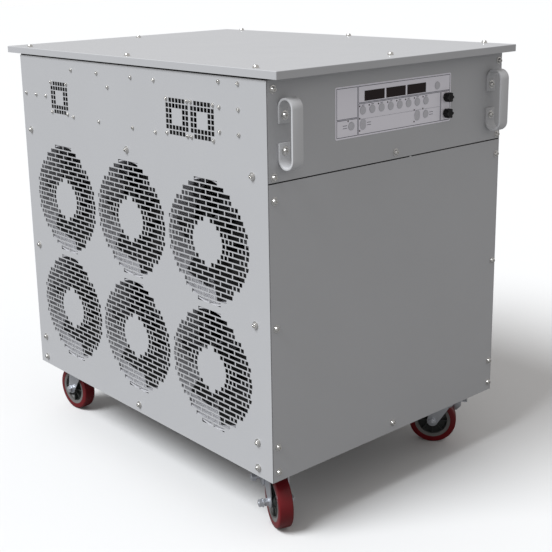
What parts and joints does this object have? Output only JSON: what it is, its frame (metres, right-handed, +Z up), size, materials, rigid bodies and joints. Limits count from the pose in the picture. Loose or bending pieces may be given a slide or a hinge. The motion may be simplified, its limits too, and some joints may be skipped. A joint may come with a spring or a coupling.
{
  "type": "generator load bank",
  "caption": "Sheet-metal resistive load bank cabinet with round fan guards, a membrane control panel, loop handles and swivel casters.",
  "frame": {"origin": "on the floor, under the middle of the overall footprint", "axes": "+Z up; -Y is the control face; -X is the fan (air intake) side and +X the louvred air outlet side"},
  "size_m": [0.785, 1.121, 1.062],
  "materials": {
    "painted_grey": "satin powder coat",
    "zinc_steel": "zinc plated",
    "bright_steel": "bright plated",
    "galvanised": "galvanised",
    "tread_red": "smooth polyurethane",
    "hub_grey": "moulded",
    "black_plastic": "moulded",
    "overlay_grey": "satin film",
    "display_red": "smoked window",
    "button_grey": "satin film",
    "resistor_steel": "heat tinted",
    "board_green": "solder mask"
  },
  "bodies": {
    "cabinet": {"base_tray": "galvanised", "caster_mounts": "zinc_steel", "control_board": "board_green", "control_overlay": "overlay_grey", "control_panel": "painted_grey", "corner_posts": "galvanised", "display_windows": "display_red", "equipment_shelf": "galvanised", "exhaust_side_panel": "painted_grey", "fan_frames": "galvanised", "fan_side_panel": "painted_grey", "fuse_sleeves": "black_plastic", "lift_handles": "painted_grey", "lower_front_panel": "painted_grey", "panel_screws": "bright_steel", "rear_connections": "bright_steel", "rear_panel": "painted_grey", "resistor_bank": "resistor_steel", "small_fan_frames": "black_plastic", "switchgear": "black_plastic", "top_cover": "painted_grey", "top_rails": "galvanised"},
    "swivel_front_left": {"caster_front_left_fork": "zinc_steel"},
    "wheel_front_left": {"caster_front_left_hub": "hub_grey", "caster_front_left_tread": "tread_red"},
    "brake_front_left": {"caster_front_left_brake": "zinc_steel"},
    "swivel_front_right": {"caster_front_right_fork": "zinc_steel"},
    "wheel_front_right": {"caster_front_right_hub": "hub_grey", "caster_front_right_tread": "tread_red"},
    "brake_front_right": {"caster_front_right_brake": "zinc_steel"},
    "swivel_rear_left": {"caster_rear_left_fork": "zinc_steel"},
    "wheel_rear_left": {"caster_rear_left_hub": "hub_grey", "caster_rear_left_tread": "tread_red"},
    "swivel_rear_right": {"caster_rear_right_fork": "zinc_steel"},
    "wheel_rear_right": {"caster_rear_right_hub": "hub_grey", "caster_rear_right_tread": "tread_red"},
    "impeller_1": {"fan_rotor_1": "black_plastic"},
    "impeller_2": {"fan_rotor_2": "black_plastic"},
    "impeller_3": {"fan_rotor_3": "black_plastic"},
    "impeller_4": {"fan_rotor_4": "black_plastic"},
    "impeller_5": {"fan_rotor_5": "black_plastic"},
    "impeller_6": {"fan_rotor_6": "black_plastic"},
    "small_impeller_1": {"small_rotor_1": "black_plastic"},
    "small_impeller_2": {"small_rotor_2": "black_plastic"},
    "small_impeller_3": {"small_rotor_3": "black_plastic"},
    "button_fan_key": {"button_fan": "button_grey"},
    "button_load_key": {"button_load": "button_grey"},
    "button_master_key": {"button_master": "button_grey"},
    "button_mode_key": {"button_mode": "button_grey"},
    "button_reset_key": {"button_reset": "button_grey"},
    "button_step_1_key": {"button_step_1": "button_grey"},
    "button_step_2_key": {"button_step_2": "button_grey"},
    "button_step_3_key": {"button_step_3": "button_grey"},
    "button_step_4_key": {"button_step_4": "button_grey"},
    "button_step_5_key": {"button_step_5": "button_grey"},
    "button_step_6_key": {"button_step_6": "button_grey"},
    "button_step_7_key": {"button_step_7": "button_grey"},
    "button_step_8_key": {"button_step_8": "button_grey"},
    "fuse_cap_1_knob": {"fuse_cap_1": "black_plastic"},
    "fuse_cap_2_knob": {"fuse_cap_2": "black_plastic"}
  },
  "joints": [
    {"name": "swivel_front_left_turn", "type": "hinge", "parent": "cabinet", "child": "swivel_front_left", "pos_m": [-0.3055, -0.4295, 0.1327], "axis": [0, 0, 1], "continuous": true},
    {"name": "wheel_front_left_roll", "type": "hinge", "parent": "swivel_front_left", "child": "wheel_front_left", "pos_m": [-0.31818, -0.45669, 0.0625], "axis": [-0.9063, 0.4226, 0], "continuous": true},
    {"name": "brake_front_left_press", "type": "hinge", "parent": "swivel_front_left", "child": "brake_front_left", "pos_m": [-0.29958, -0.41681, 0.1187], "axis": [-0.9063, 0.4226, 0], "range_deg": [0, 12]},
    {"name": "swivel_front_right_turn", "type": "hinge", "parent": "cabinet", "child": "swivel_front_right", "pos_m": [0.3055, -0.4295, 0.1327], "axis": [0, 0, 1], "continuous": true},
    {"name": "wheel_front_right_roll", "type": "hinge", "parent": "swivel_front_right", "child": "wheel_front_right", "pos_m": [0.28703, -0.40586, 0.0625], "axis": [0.788, 0.6157, 0], "continuous": true},
    {"name": "brake_front_right_press", "type": "hinge", "parent": "swivel_front_right", "child": "brake_front_right", "pos_m": [0.31412, -0.44053, 0.1187], "axis": [0.788, 0.6157, 0], "range_deg": [0, 12]},
    {"name": "swivel_rear_left_turn", "type": "hinge", "parent": "cabinet", "child": "swivel_rear_left", "pos_m": [-0.3055, 0.4145, 0.1327], "axis": [0, 0, 1], "continuous": true},
    {"name": "wheel_rear_left_roll", "type": "hinge", "parent": "swivel_rear_left", "child": "wheel_rear_left", "pos_m": [-0.30707, 0.44446, 0.0625], "axis": [0.9986, 0.0523, 0], "continuous": true},
    {"name": "swivel_rear_right_turn", "type": "hinge", "parent": "cabinet", "child": "swivel_rear_right", "pos_m": [0.3055, 0.4145, 0.1327], "axis": [0, 0, 1], "continuous": true},
    {"name": "wheel_rear_right_roll", "type": "hinge", "parent": "swivel_rear_right", "child": "wheel_rear_right", "pos_m": [0.29524, 0.44269, 0.0625], "axis": [0.9397, 0.342, 0], "continuous": true},
    {"name": "impeller_1_spin", "type": "hinge", "parent": "cabinet", "child": "impeller_1", "pos_m": [-0.3575, -0.3075, 0.361], "axis": [1, 0, 0], "continuous": true},
    {"name": "impeller_2_spin", "type": "hinge", "parent": "cabinet", "child": "impeller_2", "pos_m": [-0.3575, -0.0027, 0.361], "axis": [1, 0, 0], "continuous": true},
    {"name": "impeller_3_spin", "type": "hinge", "parent": "cabinet", "child": "impeller_3", "pos_m": [-0.3575, 0.3021, 0.361], "axis": [1, 0, 0], "continuous": true},
    {"name": "impeller_4_spin", "type": "hinge", "parent": "cabinet", "child": "impeller_4", "pos_m": [-0.3575, -0.3075, 0.6658], "axis": [1, 0, 0], "continuous": true},
    {"name": "impeller_5_spin", "type": "hinge", "parent": "cabinet", "child": "impeller_5", "pos_m": [-0.3575, -0.0027, 0.6658], "axis": [1, 0, 0], "continuous": true},
    {"name": "impeller_6_spin", "type": "hinge", "parent": "cabinet", "child": "impeller_6", "pos_m": [-0.3575, 0.3021, 0.6658], "axis": [1, 0, 0], "continuous": true},
    {"name": "small_impeller_1_spin", "type": "hinge", "parent": "cabinet", "child": "small_impeller_1", "pos_m": [-0.3755, -0.3035, 0.938], "axis": [1, 0, 0], "continuous": true},
    {"name": "small_impeller_2_spin", "type": "hinge", "parent": "cabinet", "child": "small_impeller_2", "pos_m": [-0.3755, -0.2115, 0.938], "axis": [1, 0, 0], "continuous": true},
    {"name": "small_impeller_3_spin", "type": "hinge", "parent": "cabinet", "child": "small_impeller_3", "pos_m": [-0.3755, 0.3035, 0.938], "axis": [1, 0, 0], "continuous": true},
    {"name": "button_fan_press", "type": "slide", "parent": "cabinet", "child": "button_fan_key", "axis": [0, 1, 0], "range_m": [0, 0.0005], "stiffness_N_per_m": 400, "springref_m": -0.0005},
    {"name": "button_load_press", "type": "slide", "parent": "cabinet", "child": "button_load_key", "axis": [0, 1, 0], "range_m": [0, 0.0005], "stiffness_N_per_m": 400, "springref_m": -0.0005},
    {"name": "button_master_press", "type": "slide", "parent": "cabinet", "child": "button_master_key", "axis": [0, 1, 0], "range_m": [0, 0.0005], "stiffness_N_per_m": 400, "springref_m": -0.0005},
    {"name": "button_mode_press", "type": "slide", "parent": "cabinet", "child": "button_mode_key", "axis": [0, 1, 0], "range_m": [0, 0.0005], "stiffness_N_per_m": 400, "springref_m": -0.0005},
    {"name": "button_reset_press", "type": "slide", "parent": "cabinet", "child": "button_reset_key", "axis": [0, 1, 0], "range_m": [0, 0.0005], "stiffness_N_per_m": 400, "springref_m": -0.0005},
    {"name": "button_step_1_press", "type": "slide", "parent": "cabinet", "child": "button_step_1_key", "axis": [0, 1, 0], "range_m": [0, 0.0005], "stiffness_N_per_m": 400, "springref_m": -0.0005},
    {"name": "button_step_2_press", "type": "slide", "parent": "cabinet", "child": "button_step_2_key", "axis": [0, 1, 0], "range_m": [0, 0.0005], "stiffness_N_per_m": 400, "springref_m": -0.0005},
    {"name": "button_step_3_press", "type": "slide", "parent": "cabinet", "child": "button_step_3_key", "axis": [0, 1, 0], "range_m": [0, 0.0005], "stiffness_N_per_m": 400, "springref_m": -0.0005},
    {"name": "button_step_4_press", "type": "slide", "parent": "cabinet", "child": "button_step_4_key", "axis": [0, 1, 0], "range_m": [0, 0.0005], "stiffness_N_per_m": 400, "springref_m": -0.0005},
    {"name": "button_step_5_press", "type": "slide", "parent": "cabinet", "child": "button_step_5_key", "axis": [0, 1, 0], "range_m": [0, 0.0005], "stiffness_N_per_m": 400, "springref_m": -0.0005},
    {"name": "button_step_6_press", "type": "slide", "parent": "cabinet", "child": "button_step_6_key", "axis": [0, 1, 0], "range_m": [0, 0.0005], "stiffness_N_per_m": 400, "springref_m": -0.0005},
    {"name": "button_step_7_press", "type": "slide", "parent": "cabinet", "child": "button_step_7_key", "axis": [0, 1, 0], "range_m": [0, 0.0005], "stiffness_N_per_m": 400, "springref_m": -0.0005},
    {"name": "button_step_8_press", "type": "slide", "parent": "cabinet", "child": "button_step_8_key", "axis": [0, 1, 0], "range_m": [0, 0.0005], "stiffness_N_per_m": 400, "springref_m": -0.0005},
    {"name": "fuse_cap_1_turn", "type": "hinge", "parent": "cabinet", "child": "fuse_cap_1_knob", "pos_m": [0.175, -0.5205, 0.952], "axis": [0, -1, 0], "range_deg": [0, 45]},
    {"name": "fuse_cap_2_turn", "type": "hinge", "parent": "cabinet", "child": "fuse_cap_2_knob", "pos_m": [0.175, -0.5205, 0.914], "axis": [0, -1, 0], "range_deg": [0, 45]}
  ]
}
